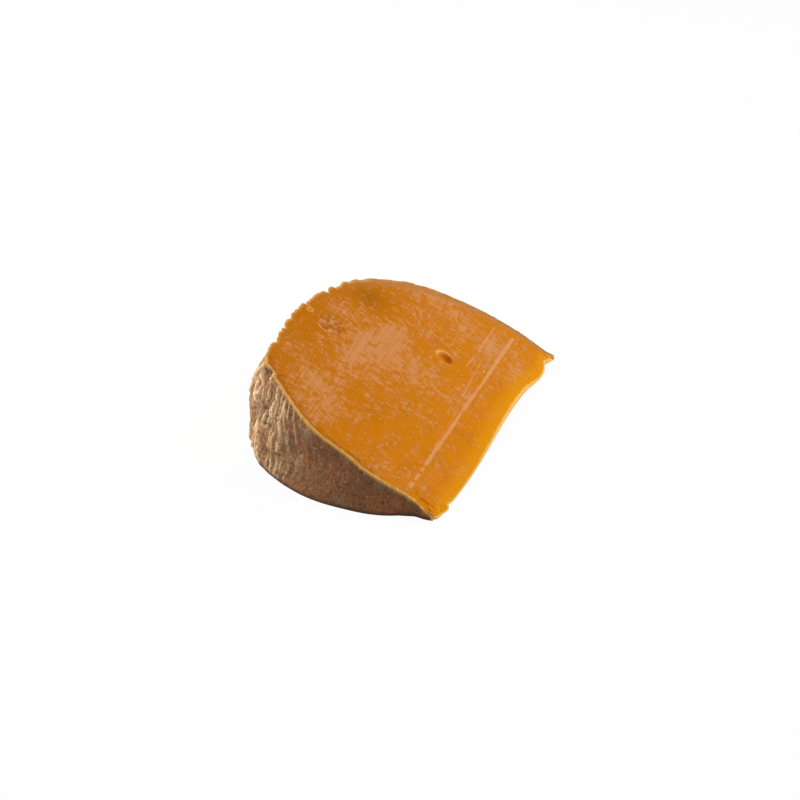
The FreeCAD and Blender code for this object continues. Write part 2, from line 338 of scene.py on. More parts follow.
def ball_place(ray, lift=0.0, grain=1.0):
    """The ball's skin in a direction from its centre, as two superellipse profiles, one for the
    base and one for the dome, with the relief, the sag and the dimple. lift moves the skin in or
    out along the direction, and grain scales the relief. Gives the places, latitudes and turns."""
    ray = ray / np.linalg.norm(ray, axis=-1, keepdims=True)
    out = np.hypot(ray[..., 0], ray[..., 2])
    turn = np.arctan2(ray[..., 2], -ray[..., 0])
    on_dome = ray[..., 1] > 0
    height = np.where(on_dome, DOME_HEIGHT, BASE_HEIGHT)
    power = np.where(on_dome, DOME_SQUARENESS, BASE_SQUARENESS)
    to_lower_cut = np.clip(1.0 - turn / WHOLE_TURN, 0.0, 1.0)
    radius = BALL_RADIUS - FLANK_LOSS * to_lower_cut * out
    reach = ((out / radius) ** power + (np.abs(ray[..., 1]) / height) ** power) ** (-1.0 / power)
    calm = smooth((out - CALM_FROM) / (CALM_TO - CALM_FROM))
    latitude = np.arctan2(ray[..., 1], out)
    reach = reach + calm * grain * main_relief(latitude, turn) + lift
    place = ray * reach[..., None]
    from_core = np.hypot(place[..., 0], place[..., 2])
    sag = SAG_DEPTH * bump(from_core - SAG_REACH, SAG_RADIUS) * bump(place[..., 2], SAG_THICKNESS)
    rise = DIMPLE_DEPTH * bump(from_core, DIMPLE_RADIUS) - sag
    place[..., 1] += np.where(on_dome, 0.0, rise)
    return place, latitude, turn


def edge_place(from_base):
    """Where the thin edge lies across the core line, at distances from the base."""
    slow = EDGE_WAVE * np.cos(2 * np.pi * (from_base - EDGE_CREST) / EDGE_WAVE_LENGTH)
    lobes = sum(proud * bump(from_base - at, width) for at, width, proud in EDGE_LOBES)
    bites = sum(depth * bump(from_base - at, width) for at, width, depth in EDGE_BITES)
    crumbled = CORNER_LOSS * (1.0 - smooth(from_base / CORNER_LENGTH + 0.5))
    return EDGE_OFFSET + slow + lobes - bites - crumbled


def rim_rays(shares):
    """Directions from the ball's centre to the lower and the upper rim, from the base end (share 0)
    to the dome end (share 1). The lower rim is in the plane of the lower cut. The upper one is
    where the skin meets a plane that passes CUT_MISS above the core line, found in a few rounds."""
    ends = edge_place(np.array((0.0, LENGTH)))
    lower_starts = -ends
    upper_starts = (CUT_MISS * math.sin(WHOLE_TURN) - ends) / math.cos(WHOLE_TURN)

    def latitudes(starts):
        """Even steps between the latitudes where a cut's thin edge meets the base and the dome."""
        first = -math.pi / 2 + math.atan(starts[0] / BASE_HEIGHT)
        last = math.pi / 2 - math.atan(starts[1] / DOME_HEIGHT)
        return blend(first, last, shares)[:, None]

    low = latitudes(lower_starts)
    lower = np.array((-1.0, 0.0, 0.0)) * np.cos(low) + ALONG_CORE * np.sin(low)
    high = latitudes(upper_starts)
    flat = UP_THE_CUT * np.cos(high) + ALONG_CORE * np.sin(high)
    upper = flat
    for _ in range(5):
        reach = np.linalg.norm(ball_place(upper)[0], axis=-1, keepdims=True)
        upper = flat * reach + OFF_THE_CUT * CUT_MISS
    return lower, upper


class Rims:
    """The two rims at places that are evenly spread along the upper rim, and closer at its
    cracks."""

    def __init__(self, count):
        fine = np.linspace(0.0, 1.0, 4001)
        upper = rim_rays(fine)[1]
        line = ball_place(upper, grain=0.0)[0]
        steps = np.linalg.norm(np.diff(line, axis=0), axis=1)
        middle = (line[1:, 1] + line[:-1, 1]) / 2 + BASE_HEIGHT
        closer = sum(CRACK_CROWDING * bump(middle - at, 2.5 * width) for at, width, _ in RIM_CRACKS)
        run = np.concatenate(((0.0,), np.cumsum(steps * (1.0 + closer))))
        shares = np.interp(np.linspace(0.0, run[-1], count), run, fine)
        self.lower, self.upper = rim_rays(shares)
        true_run = np.concatenate(((0.0,), np.cumsum(steps)))
        self.run = np.interp(shares, fine, true_run)
        self.length = true_run[-1]

    def rays(self, across):
        """Directions to places on the chords between the rims, 0 lower and 1 upper."""
        low = ball_place(self.lower)[0][:, None, :]
        high = ball_place(self.upper)[0][:, None, :]
        return blend(low, high, np.asarray(across)[None, :, None])


def rim_wear(run_up, from_base, on_flank):
    """How the upper rim departs from the ball's even skin, inwards, in three parts: the cracks' V
    notches, the broad swell, and the small bites with slight unevenness all along."""
    notches = sum(
        depth * np.clip(1.0 - np.abs(from_base - at) / (width / 2), 0.0, 1.0)
        for at, width, depth in RIM_CRACKS
    )
    swell = np.interp(run_up, *np.transpose(RIM_SWELL))
    bites = sum(depth * bump(run_up - at, width / 2.6) for at, width, depth in RIM_BITES)
    uneven = 0.18 * layered(run_up / 2.1, run_up * 0.0 + 4.0, 8)
    return notches * on_flank, -swell, bites + uneven


# ---- Meshes --------------------------------------------------------------------------------------


def ball_shift():
    """Where the ball's centre is in the frame, in millimetres, from the frame's box: the thin
    edge's farthest place touches the box's +X side and the dome's top touches its +Y side."""
    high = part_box(NODE)[1]
    proudest = edge_place(np.linspace(0.0, LENGTH, 2000)).max()
    return np.array((high.x / MM - proudest, high.y / MM - DOME_HEIGHT, 0.0))


def put_tube(name, places, attributes):
    """A closed mesh from a grid of places, one row for each ring. Each ring is joined to itself and
    to the next, and the first and last ring are closed by a fan to their middles. attributes holds
    a grid of numbers for each name."""
    rings, sides = places.shape[:2]
    ends = np.stack((places[0].mean(0), places[-1].mean(0)))
    points = np.concatenate((places.reshape(-1, 3), ends)) + ball_shift()
    points[:, 2] = np.maximum(points[:, 2], 0.0)

    # Quads between neighbouring rings, and a fan of triangles at each end.
    ring, side = np.meshgrid(np.arange(rings - 1), np.arange(sides), indexing="ij")
    after = (side + 1) % sides
    corners = (ring * sides + side, ring * sides + after)
    corners += ((ring + 1) * sides + after, (ring + 1) * sides + side)
    quads = np.stack([corner.ravel() for corner in corners], axis=1)
    around = np.arange(sides)
    following = (around + 1) % sides
    first, last = rings * sides, rings * sides + 1
    start_fan = np.stack((np.full(sides, first), following, around), axis=1)
    top = (rings - 1) * sides
    end_fan = np.stack((np.full(sides, last), top + around, top + following), axis=1)
    triangles = np.concatenate((start_fan, end_fan))

    mesh = bpy.data.meshes.new(name)
    mesh.vertices.add(len(points))
    mesh.vertices.foreach_set("co", (points * MM).astype(np.float32).ravel())
    loops = np.concatenate((quads.ravel(), triangles.ravel()))
    totals = np.concatenate((np.full(len(quads), 4), np.full(len(triangles), 3)))
    starts = np.concatenate(((0,), np.cumsum(totals)[:-1]))
    mesh.loops.add(len(loops))
    mesh.loops.foreach_set("vertex_index", loops.astype(np.int32))
    mesh.polygons.add(len(totals))
    mesh.polygons.foreach_set("loop_start", starts.astype(np.int32))
    mesh.polygons.foreach_set("use_smooth", np.ones(len(totals), dtype=bool))
    mesh.update(calc_edges=True)

    # Each middle of an end takes its ring's average.
    for key, grid in attributes.items():
        whole = np.concatenate((grid.ravel(), (grid[0].mean(), grid[-1].mean())))
        layer = mesh.attributes.new(key, "FLOAT", "POINT")
        layer.data.foreach_set("value", whole.astype(np.float32))

    form = bmesh.new()
    form.from_mesh(mesh)
    bmesh.ops.recalc_face_normals(form, faces=form.faces)
    form.to_mesh(mesh)
    form.free()
    piece = bpy.data.objects.new(name, mesh)
    bpy.context.scene.collection.objects.link(piece)
    return piece


def fill_rings(numbers, sides):
    """Grids as wide as the rings, from grids for the first places of each ring and the number that
    each has at all the places after them."""
    filled = {}
    for name, (grid, rest) in numbers.items():
        more = np.full((len(grid), sides - grid.shape[1]), rest)
        filled[name] = np.concatenate((grid, more), axis=1)
    return filled


def hand_over(piece, material):
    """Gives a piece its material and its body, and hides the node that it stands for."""
    piece.data.materials.append(material)
    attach(piece, BODY)
    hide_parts(NODE)


# ---- The paste -----------------------------------------------------------------------------------


def past_crease(core, base):
    """Distance of a place on the upper cut from the knife's crease, towards the rind."""
    return core - CREASE_NEAR - (CREASE_FAR - CREASE_NEAR) * base / LENGTH


def cut_relief(core, base, sizes):
    """Height of the upper cut's surface over its plane, at distances from the core line and from
    the base: the strip beside the thin edge falls away, a burr stands along the knife's crease and
    is broken into short blocks near the base, the dent and the flaked hollow are shallow dishes,
    the eye is a deep one with a raised lip, and the knife left fine scores and torn lumps."""
    past = past_crease(core, base)
    height = -np.maximum(0.0, -past) * math.tan(math.radians(STEP_TURN))
    height += sizes.burr_height * bump(past - 0.3, 0.6) * crease_blocks(base)
    second = bump(past - SECOND_LINE, 0.35) * smooth((base - SECOND_FROM) / 5.0)
    height += 0.6 * sizes.burr_height * second * smooth((137.0 - base) / 4.0)
    dent = np.hypot(core - DENT_FROM_CORE, base - DENT_FROM_BASE)
    height -= DENT_DEPTH * np.clip(1.0 - (dent * 2 / DENT_WIDTH) ** 2, 0.0, 1.0)
    flaked = 0.55 * layered(core / 2.6, base / 2.2, 31) + 0.3 * noise(core / 0.9, base / 0.8, 33)
    height += flake_mask(core, base) * (flaked - 0.35)
    across, along = core - EYE_FROM_CORE, base - EYE_FROM_BASE
    eye = np.hypot(across / (sizes.eye_length / 2), along / (sizes.eye_width / 2))
    height -= sizes.eye_depth * np.sqrt(np.clip(1.0 - eye**4, 0.0, 1.0))
    height += 0.4 * bump(eye - EYE_LIP, 0.22) * smooth(0.4 + 0.16 * (across + along))
    curl = np.hypot(core - CURL_FROM_CORE, base - CURL_FROM_BASE)
    height += 0.5 * bump(curl - CURL_RIM, 0.45) - 0.7 * bump(curl, CURL_HOLLOW)
    height += 0.3 * flake_border(core, base)
    scores = 0.035 * noise(past / 0.8, base / 45.0, 41) + 0.06 * noise(past / 2.4, base / 60.0, 42)
    lumps = 0.1 * layered(core / 9.0, base / 12.0, 43) + 0.03 * noise(core / 1.3, base / 1.9, 45)
    corner = smooth((13.0 - base) / 9.0) * smooth((19.0 - core) / 9.0)
    folds = ridges(core / 9.0 + base / 7.0, base / 5.0 - core / 16.0, 51)
    crumbs = corner * (0.9 * folds + 0.4 * layered(core / 2.6, base / 1.7, 52) - 0.5)
    return height + scores + lumps + crumbs, eye


def crease_blocks(base):
    """The burr's strength along the crease: uneven, and in short blocks near the base."""
    short = smooth(3.0 * wave(base + 1.4 * noise(base / 5.0, base * 0.0, 24), 6.2) + 2.2)
    blocks = blend(1.0, short, smooth((25.0 - base) / 3.0))
    return (0.75 + 0.25 * noise(base / 6.0, base * 0.0, 22)) * blocks * smooth((base - 4.0) / 3.0)


def flake_mask(core, base):
    """Where paste flaked away beside the deepest rim notch."""
    far = np.hypot((core - FLAKE_FROM_CORE) / 7.5, (base - FLAKE_FROM_BASE) / 6.5)
    return smooth((1.0 + 0.3 * noise(core / 3.0, base / 3.0, 61) - far) / 0.3)


def flake_border(core, base):
    """The raised torn line that bounds the flaked hollow on the base side."""
    line = 57.6 + 0.09 * (core - 78.0) + 0.9 * wave(core, 17.0)
    return bump(base - line, 0.7) * smooth((core - 75.0) / 2.0) * smooth((92.0 - core) / 3.0)


def rind_depth(run, latitude, sizes):
    """Thickness of the rind at the upper rim: thin at the base, thinner still up the flank, thick
    round the dome, and ragged all along."""
    degrees = np.degrees(latitude)
    even = blend(sizes.thin, sizes.thick, smooth((degrees - DOME_FROM) / 40.0))
    flank = smooth((run - FLANK_FROM) / 8.0) * (1.0 - smooth((degrees - 5.0) / 30.0))
    ragged = 0.28 * layered(run / 2.8, run * 0.0 + 2.0, 9, layers=2)
    return even * (1.0 - 0.4 * flank) * (1.0 + ragged)


def unit(ways):
    """Directions brought to length 1."""
    return ways / np.maximum(1e-9, np.linalg.norm(ways, axis=1, keepdims=True))


def inward(line, off):
    """Unit directions into the cheese from a rim line: square to the line, in the plane whose
    normal is off, and turned towards the middle of the cuts."""
    side = unit(np.cross(unit(np.gradient(line, axis=0)), off))
    flip = np.where((side * (MIDDLE - line)).sum(1) < 0, -1.0, 1.0)
    return side * flip[:, None]


def worn_away(wear, from_rim):
    """How far the wear has moved the rind inwards, at a distance below the upper rim: the notches
    fade evenly, the small bites soon and the swell as a bell."""
    notches, swell, bites = wear
    fading = np.clip(1.0 - from_rim / CRACK_LENGTH, 0.0, 1.0)
    moved = notches * fading + bites * np.exp(-from_rim / BITE_FADE)
    return moved + swell * bump(from_rim, SWELL_FADE)


def rim_lines(rims, sizes):
    """The lower and upper rim, the chord between them, the upper rim's wear, the directions inwards
    and the rind's thickness. Where the wedge is thin, the wear moves the lower rim too."""
    low = ball_place(rims.lower)[0]
    high, latitude, _ = ball_place(rims.upper)
    plain_high = ball_place(rims.upper, grain=0.0)[0]
    plain_low = ball_place(rims.lower, grain=0.0)[0]
    into_high = inward(plain_high, OFF_THE_CUT)
    into_low = inward(plain_low, np.array((0.0, 0.0, 1.0)))
    degrees = np.degrees(latitude)
    on_flank = smooth((degrees + 36.0) / 8.0) * smooth((62.0 - degrees) / 8.0)
    wear = rim_wear(rims.run, high[:, 1] + BASE_HEIGHT, on_flank)
    ends = smooth(rims.run / 4.0) * smooth((rims.length - rims.run) / 4.0)
    wear = [part * ends for part in wear]
    chord = np.linalg.norm(high - low, axis=1)
    return SimpleNamespace(
        low=low + into_high * worn_away(wear, chord)[:, None],
        high=high,
        into_low=into_low,
        into_high=into_high,
        wear=wear,
        depth=rind_depth(rims.run, latitude, sizes)[:, None],
        latitude=latitude,
        chord=chord[:, None],
    )


def inner_skin(rims, line, depth):
    """Six rows inside the rind, from near the upper rim to near the lower one: the ball's skin, its
    relief halved, moved in by a depth, and pushed in further where the upper rim is worn."""
    across = np.linspace(0.85, 0.15, 6)
    rows = ball_place(rims.rays(across), lift=-depth, grain=0.5)[0]
    pushed = np.maximum(sum(line.wear)[:, None], -1.0) * across[None, :] ** 2
    return rows + line.into_high[:, None] * pushed[..., None]


def cut_coordinates(place):
    """Distances from the core line and from the base, of places on the upper cut."""
    return place @ UP_THE_CUT, place[..., 1] + BASE_HEIGHT


def thin_edge(rims, depth_at_ends):
    """The lower and the upper corner of the thin edge, at one place for each ring."""
    first = depth_at_ends[0]
    last = LENGTH - depth_at_ends[1]
    from_base = blend(first, last, rims.run / rims.length)
    across = edge_place(from_base)
    low = np.stack((across, from_base - BASE_HEIGHT, np.zeros_like(across)), axis=1)
    lean = (CUT_MISS * math.sin(WHOLE_TURN) - across) / math.cos(WHOLE_TURN)
    high = UP_THE_CUT * lean[:, None] + OFF_THE_CUT * CUT_MISS
    high[:, 1] = low[:, 1]
    return low, high


def build_paste(sizes, rind_sizes, material):
    """The paste: each ring runs over the upper cut in straight lines from the thin edge to the rim,
    down behind the rind, back under the wedge and up the thin edge. The upper cut's places are then
    lifted by the cut's relief, and the thin edge is rounded."""
    rims = Rims(sizes.rings)
    line = rim_lines(rims, rind_sizes)
    low, high, depth = line.low, line.high, line.depth
    edge_low, edge_high = thin_edge(rims, (rind_sizes.thin, rind_sizes.thick))
    worn = sum(line.wear)[:, None]
    inner_high = high + line.into_high * (worn + depth)
    inner_low = low + line.into_low * depth

    # The upper cut, in rows that are closer towards the thin edge.
    rows = np.append(np.linspace(0.0, 0.9995, sizes.rows - 1) ** 1.25, 1.0)
    face = blend(edge_high[:, None], inner_high[:, None], rows[None, :, None])
    core, base = cut_coordinates(face)
    relief, eye = cut_relief(core, base, sizes)
    from_edge = np.linalg.norm(face - edge_high[:, None], axis=2)
    from_rim = np.linalg.norm(face - inner_high[:, None], axis=2)
    dome = smooth((np.degrees(line.latitude) - DOME_FROM) / 25.0)[:, None]
    flank_side = smooth((rims.run - FLANK_FROM) / 8.0)[:, None] * (1.0 - dome)
    base_side = smooth((104.0 - rims.run) / 14.0) * smooth((rims.run - 22.0) / 14.0)
    base_side = base_side[:, None]
    relief = relief * blend(0.25, 1.0, smooth(from_rim / 2.5))
    relief = relief - 0.3 * base_side * bump(from_rim - 2.2, 2.0)
    calm = smooth(from_edge / 1.2)
    round_edge = 0.9 * np.clip(1.0 - from_edge / 1.6, 0.0, 1.0) ** 2
    face = face + OFF_THE_CUT * (relief * calm - round_edge)[..., None]
    face[..., 2] = np.maximum(face[..., 2], THINNEST)

    # Behind the rind, kept well inside it, but less so where the wedge is thin.
    thin = np.minimum(1.0, line.chord / FULL_CHORD)
    tucked = high + line.into_high * (worn + depth - 0.5 * thin) - OFF_THE_CUT * 0.5 * thin
    hidden = inner_skin(rims, line, 0.5 + 4.9 * thin)
    lifted = np.array((0.0, 0.0, 0.5)) * thin
    tucked_low = low + line.into_low * (depth - 0.5 * thin) + lifted

    # Under the wedge and up the thin edge, which is crumbly and bellies out a little.
    floor_rows = np.linspace(0.0, 1.0, 14)
    under = blend(inner_low[:, None], edge_low[:, None], floor_rows[None, :, None])
    climb = np.linspace(0.12, 0.88, 6)
    wall = blend(edge_low[:, None], face[:, :1], climb[None, :, None])
    crumble = 0.12 * layered(wall[..., 1] / 1.7, wall[..., 2] / 1.1, 71)
    belly = 0.25 * np.sin(np.pi * climb)[None, :]
    wall[..., 0] += (crumble + belly) * smooth(rims.run / 3.0)[:, None]
    parts = (face, tucked[:, None], hidden, tucked_low[:, None], under, wall)
    ring = np.concatenate(parts, axis=1)

    flake = flake_mask(core, base)
    curl = np.hypot(core - CURL_FROM_CORE, base - CURL_FROM_BASE)
    curl_edge = 0.7 * bump(curl - CURL_RIM, 0.45)
    beyond = core - EYE_FROM_CORE + base - EYE_FROM_BASE
    lip = 0.85 * bump(eye - EYE_LIP, 0.18) * smooth(0.2 + 0.16 * beyond)
    hollow = np.maximum(smooth((1.06 - eye) / 0.2), 0.5 * bump(curl, CURL_HOLLOW))
    # Painted shade just inside the rim on the base side, where the paste dips behind the lip.
    rim_recess_shade = 0.65 * bump(from_rim - 1.5, 2.6) * base_side
    torn = np.maximum(0.7 * flake + flake_border(core, base), chips(core, base))
    dark_across, dark_along, dark_radius = DENT_PAINTED_SHADE
    # Painted shade in the dent.
    dent = 0.7 * bump(np.hypot(core - dark_across, base - dark_along), dark_radius)
    numbers = {
        "from_rim": (from_rim, 30.0),
        "from_edge": (from_edge, 0.0),
        # Painted shade beside the rim; the flaked hollow is darkened with the same colour.
        "shade": (np.maximum(rim_recess_shade, 0.4 * flake), 0.0),
        "band": (smear_band(core, base), 0.0),
        # Painted shade: the paste darkens from the thin edge towards the rind as the light falls
        # off.
        "deep": (np.clip((core - 8.0) / 85.0, 0.0, 1.0), 0.0),
        "eye": (hollow, 0.0),
        "lip": (np.maximum(lip, curl_edge), 0.0),
        "torn": (torn, 0.0),
        # Where the painted sheen is dense.
        "sheen": (sheen_area(core, base), 0.35),
        "dent": (dent, 0.0),
        "gilded": (0.3 * bump(from_rim, 0.7) * flank_side, 0.0),
    }
    attributes = fill_rings(numbers, ring.shape[1])
    attributes["dome"] = np.broadcast_to(dome, ring.shape[:2])
    hand_over(put_tube("paste", ring, attributes), material)


def smear_band(core, base):
    """The pale smear beside the crease: narrow and in blocks near the base, wide and streaky
    towards the dome, where a second thin line bounds it."""
    past = past_crease(core, base)
    wide = 3.0 + 3.4 * smooth((base - 55.0) / 15.0) + 4.2 * smooth((base - 94.0) / 5.0)
    started = smooth((past + 0.2) / 0.4)
    solid = started * (1.0 - smooth((past - 0.9) / 1.3))
    streaks = started * (1.0 - smooth((past - wide) / 1.2))
    second = bump(past - SECOND_LINE, 0.45) * smooth((base - SECOND_FROM) / 5.0)
    ending = smooth((140.0 - base) / 5.0)
    strength = 0.5 * solid + 0.52 * streaks + 0.45 * bump(past - 0.4, 0.5) + 0.6 * second
    return strength * crease_blocks(base) * ending


def chips(core, base):
    """Pale torn flecks, each a soft oval."""
    return sum(
        bump(np.hypot((core - across) / length, (base - along) / width) * 2, 1.0)
        for across, along, length, width in CHIPS
    )


def sheen_area(core, base):
    """How densely the knife smeared the cut, and so how much painted sheen it gets: broad patches
    between 0 and 1.
    """
    broad = 0.22 + 0.25 * layered(core / 18.0, base / 22.0, 81)
    for across, along, wide, long, more in PAINTED_SHEEN_PATCHES:
        far = np.hypot((core - across) / wide, (base - along) / long)
        broad = broad + more * bump(far, 1.0)
    return np.clip(broad, 0.0, 1.0)


# ---- The rind ------------------------------------------------------------------------------------


def fine_relief(up, aside, latitude, sizes):
    """Height of the rind's fine relief: wrinkles that run from cut to cut, as crests of noise that
    is stretched that way, deep cracks between them, round pits where mites fed, and grain. Also
    where the crests get a painted highlight and where the pits and cracks get painted shade."""
    spacing = sizes.wrinkle_spacing
    bend = 0.5 * spacing * noise(up / 16.0, aside / 13.0, 101)
    bend = bend + 0.6 * noise(up / 4.5, aside / 5.0, 102)
    coarse = ridges((up + bend) / (spacing * 1.5), aside / 30.0 + 0.1 * bend, 103) ** 1.5
    coarse = coarse * blend(0.45, 1.0, smooth(0.6 + 1.2 * noise(up / 6.0, aside / 8.0, 118)))
    fine = ridges((up + bend) / (spacing * 0.7), aside / 6.0, 104) ** 1.6
    cracks = ridges((up + bend) / (spacing * 1.3), aside / 7.0, 107) ** 3
    cracks = cracks * smooth(0.5 + 1.5 * noise(up / 5.0, aside / 6.0, 119))
    wrinkles = sizes.wrinkle_height * (1.25 * coarse + 0.25 * fine - 0.8 * cracks - 0.3)
    pits = spots(up / 2.6, aside / 2.9, 105, 0.6, 0.12, 0.26)
    tiny = spots(up / 1.5, aside / 1.5, 109, 0.4, 0.16, 0.3)
    grain = 0.09 * layered(up / 1.4, aside / 1.7, 113)
    uneven = 0.45 * noise(up / 7.0, aside / 8.0, 117)
    degrees = np.degrees(latitude)
    flank = smooth((degrees + 47.0) / 24.0) * smooth((76.0 - degrees) / 30.0)
    height = blend(0.06, 1.0, flank) * (wrinkles + uneven) + grain
    height = height - sizes.pit_depth * blend(0.4, 1.0, flank) * (pits + 0.4 * tiny)
    # Where the crests get a painted highlight.
    crests = flank * np.clip(1.15 * coarse + 0.2 * fine - 0.6 * cracks, 0.0, 1.0) ** 1.5
    # Where the pits and cracks get painted shade.
    pitted = blend(0.75, 1.0, flank) * (pits + 0.6 * tiny) + flank * cracks
    pit_shade = 0.85 * np.clip(pitted, 0.0, 1.0)
    return height, crests, pit_shade


def build_rind(sizes, paste_sizes, material):
    """The rind: each ring runs up the outside from the lower rim to the upper one, over a rounded
    lip on to the cut, dives into the paste and goes back inside to the lower rim."""
    rims = Rims(sizes.rings)
    line = rim_lines(rims, sizes)
    low, high, depth, chord = line.low, line.high, line.depth, line.chord
    ends = smooth(rims.run / 5.0) * smooth((rims.length - rims.run) / 5.0)
    worn = sum(line.wear)[:, None]

    # The outside, with its fine relief and the upper rim's wear.
    across = np.linspace(0.0, 1.0, sizes.columns)
    rays = rims.rays(across)
    place, latitudes, _ = ball_place(rays)
    up = np.broadcast_to(rims.run[:, None], latitudes.shape)
    aside = across[None, :] * chord
    from_rim = (1.0 - across[None, :]) * chord
    height, crests, pit_shade = fine_relief(up, aside, latitudes, sizes)
    behind = smooth((rims.run - 99.0) / 5.0)[:, None]
    near_rim = smooth(from_rim / blend(1.6, 12.0, behind) + blend(0.25, 0.0, behind))
    near_rim = near_rim * blend(0.1, 1.0, smooth(aside / 4.0))
    recess = 2.4 * behind * bump(from_rim - 6.0, 5.0)
    shown = (height * near_rim - recess) * ends[:, None]
    place = place + rays / np.linalg.norm(rays, axis=-1, keepdims=True) * shown[..., None]
    moved = worn_away([part[:, None] for part in line.wear], from_rim)
    place = place + line.into_high[:, None] * moved[..., None]

    # Over the lip, as shares of the rind's thickness and heights over the cut.
    strip = np.array((0.10, 0.28, 0.5, 0.75, 0.97, 1.0))
    lift = np.array((0.05, 0.12, 0.12, 0.10, 0.03, 0.02))
    crumbly = 1.0 + 1.5 * layered(rims.run[:, None] / 1.5, strip[None, :] * 2.5, 121)
    reach = worn + depth * strip[None, :]
    over = high[:, None] + line.into_high[:, None] * reach[..., None]
    over = over + OFF_THE_CUT * (lift[None, :] * crumbly * ends[:, None])[..., None]
    relief = cut_relief(*cut_coordinates(over), paste_sizes)[0]
    over = over + OFF_THE_CUT * (np.minimum(relief, 0.1) * 0.6)[..., None]

    # Down into the paste and back inside, kept out of the way where the wedge is thin.
    thin = np.minimum(1.0, chord / FULL_CHORD)
    dive = high + line.into_high * (worn + depth + 0.25 * thin) - OFF_THE_CUT * 1.2 * thin
    inner = inner_skin(rims, line, 0.8 + 5.6 * thin)
    rise = np.array((0.0, 0.0, 1.2)) * thin
    dive_low = low + line.into_low * (depth + 0.25 * thin) + rise
    inner_low = low + line.into_low * depth
    parts = (place, over, dive[:, None], inner, dive_low[:, None], inner_low[:, None])
    ring = np.concatenate(parts, axis=1)

    through = np.ones(ring.shape[:2])
    through[:, : sizes.columns] = 0.0
    through[:, sizes.columns : sizes.columns + len(strip)] = strip
    on_cut = np.zeros(ring.shape[:2])
    on_cut[:, sizes.columns :] = 1.0
    at_end = smooth(np.maximum(1.4 - rims.run, 1.4 + rims.run - rims.length))[:, None]
    dome = smooth((np.degrees(line.latitude) - DOME_FROM) / 40.0)[:, None]
    degrees = np.degrees(latitudes)
    # Painted shadow: the rind darkens within about 2 mm of the floor, away from the dome.
    floor_shadow = smooth((2.2 - place[..., 2]) / 2.0) * smooth((40.0 - degrees) / 20.0)
    numbers = {
        "crests": (crests, 0.0),
        "gilt": (0.9 * bump(from_rim, blend(0.8, 2.0, dome)), 0.0),
        "pit_shade": (pit_shade, 0.0),
        "flank": (smooth((degrees + 43.0) / 24.0), 0.0),
        "low": (floor_shadow, 0.0),
    }
    attributes = fill_rings(numbers, ring.shape[1])
    attributes["on_cut"] = np.maximum(on_cut, at_end)
    attributes["through"] = through
    attributes["dome"] = np.broadcast_to(dome, ring.shape[:2])
    hand_over(put_tube("rind", ring, attributes), material)


# ---- Materials -----------------------------------------------------------------------------------


def colour(code):
    """A linear colour with alpha 1 from an sRGB hex code such as #D07A00."""
    parts = np.array([int(code[i : i + 2], 16) for i in (1, 3, 5)]) / 255
    linear = np.where(parts <= 0.04045, parts / 12.92, ((parts + 0.055) / 1.055) ** 2.4)
    return (*linear.tolist(), 1.0)


def add_node(tree, kind, inputs=None, **settings):
    """Adds a node, sets its settings, and sets each named or numbered input to a value or links it
    to another node's output."""
    node = tree.nodes.new(kind)
    for name, value in settings.items():
        setattr(node, name, value)
    for key, value in (inputs or {}).items():
        if isinstance(value, bpy.types.NodeSocket):
            tree.links.new(value, node.inputs[key])
        else:
            node.inputs[key].default_value = value
    return node


def new_material(name):
    """An empty node material and its tree."""
    material = bpy.data.materials.new(name)
    material.use_nodes = True
    material.node_tree.nodes.clear()
    return material, material.node_tree


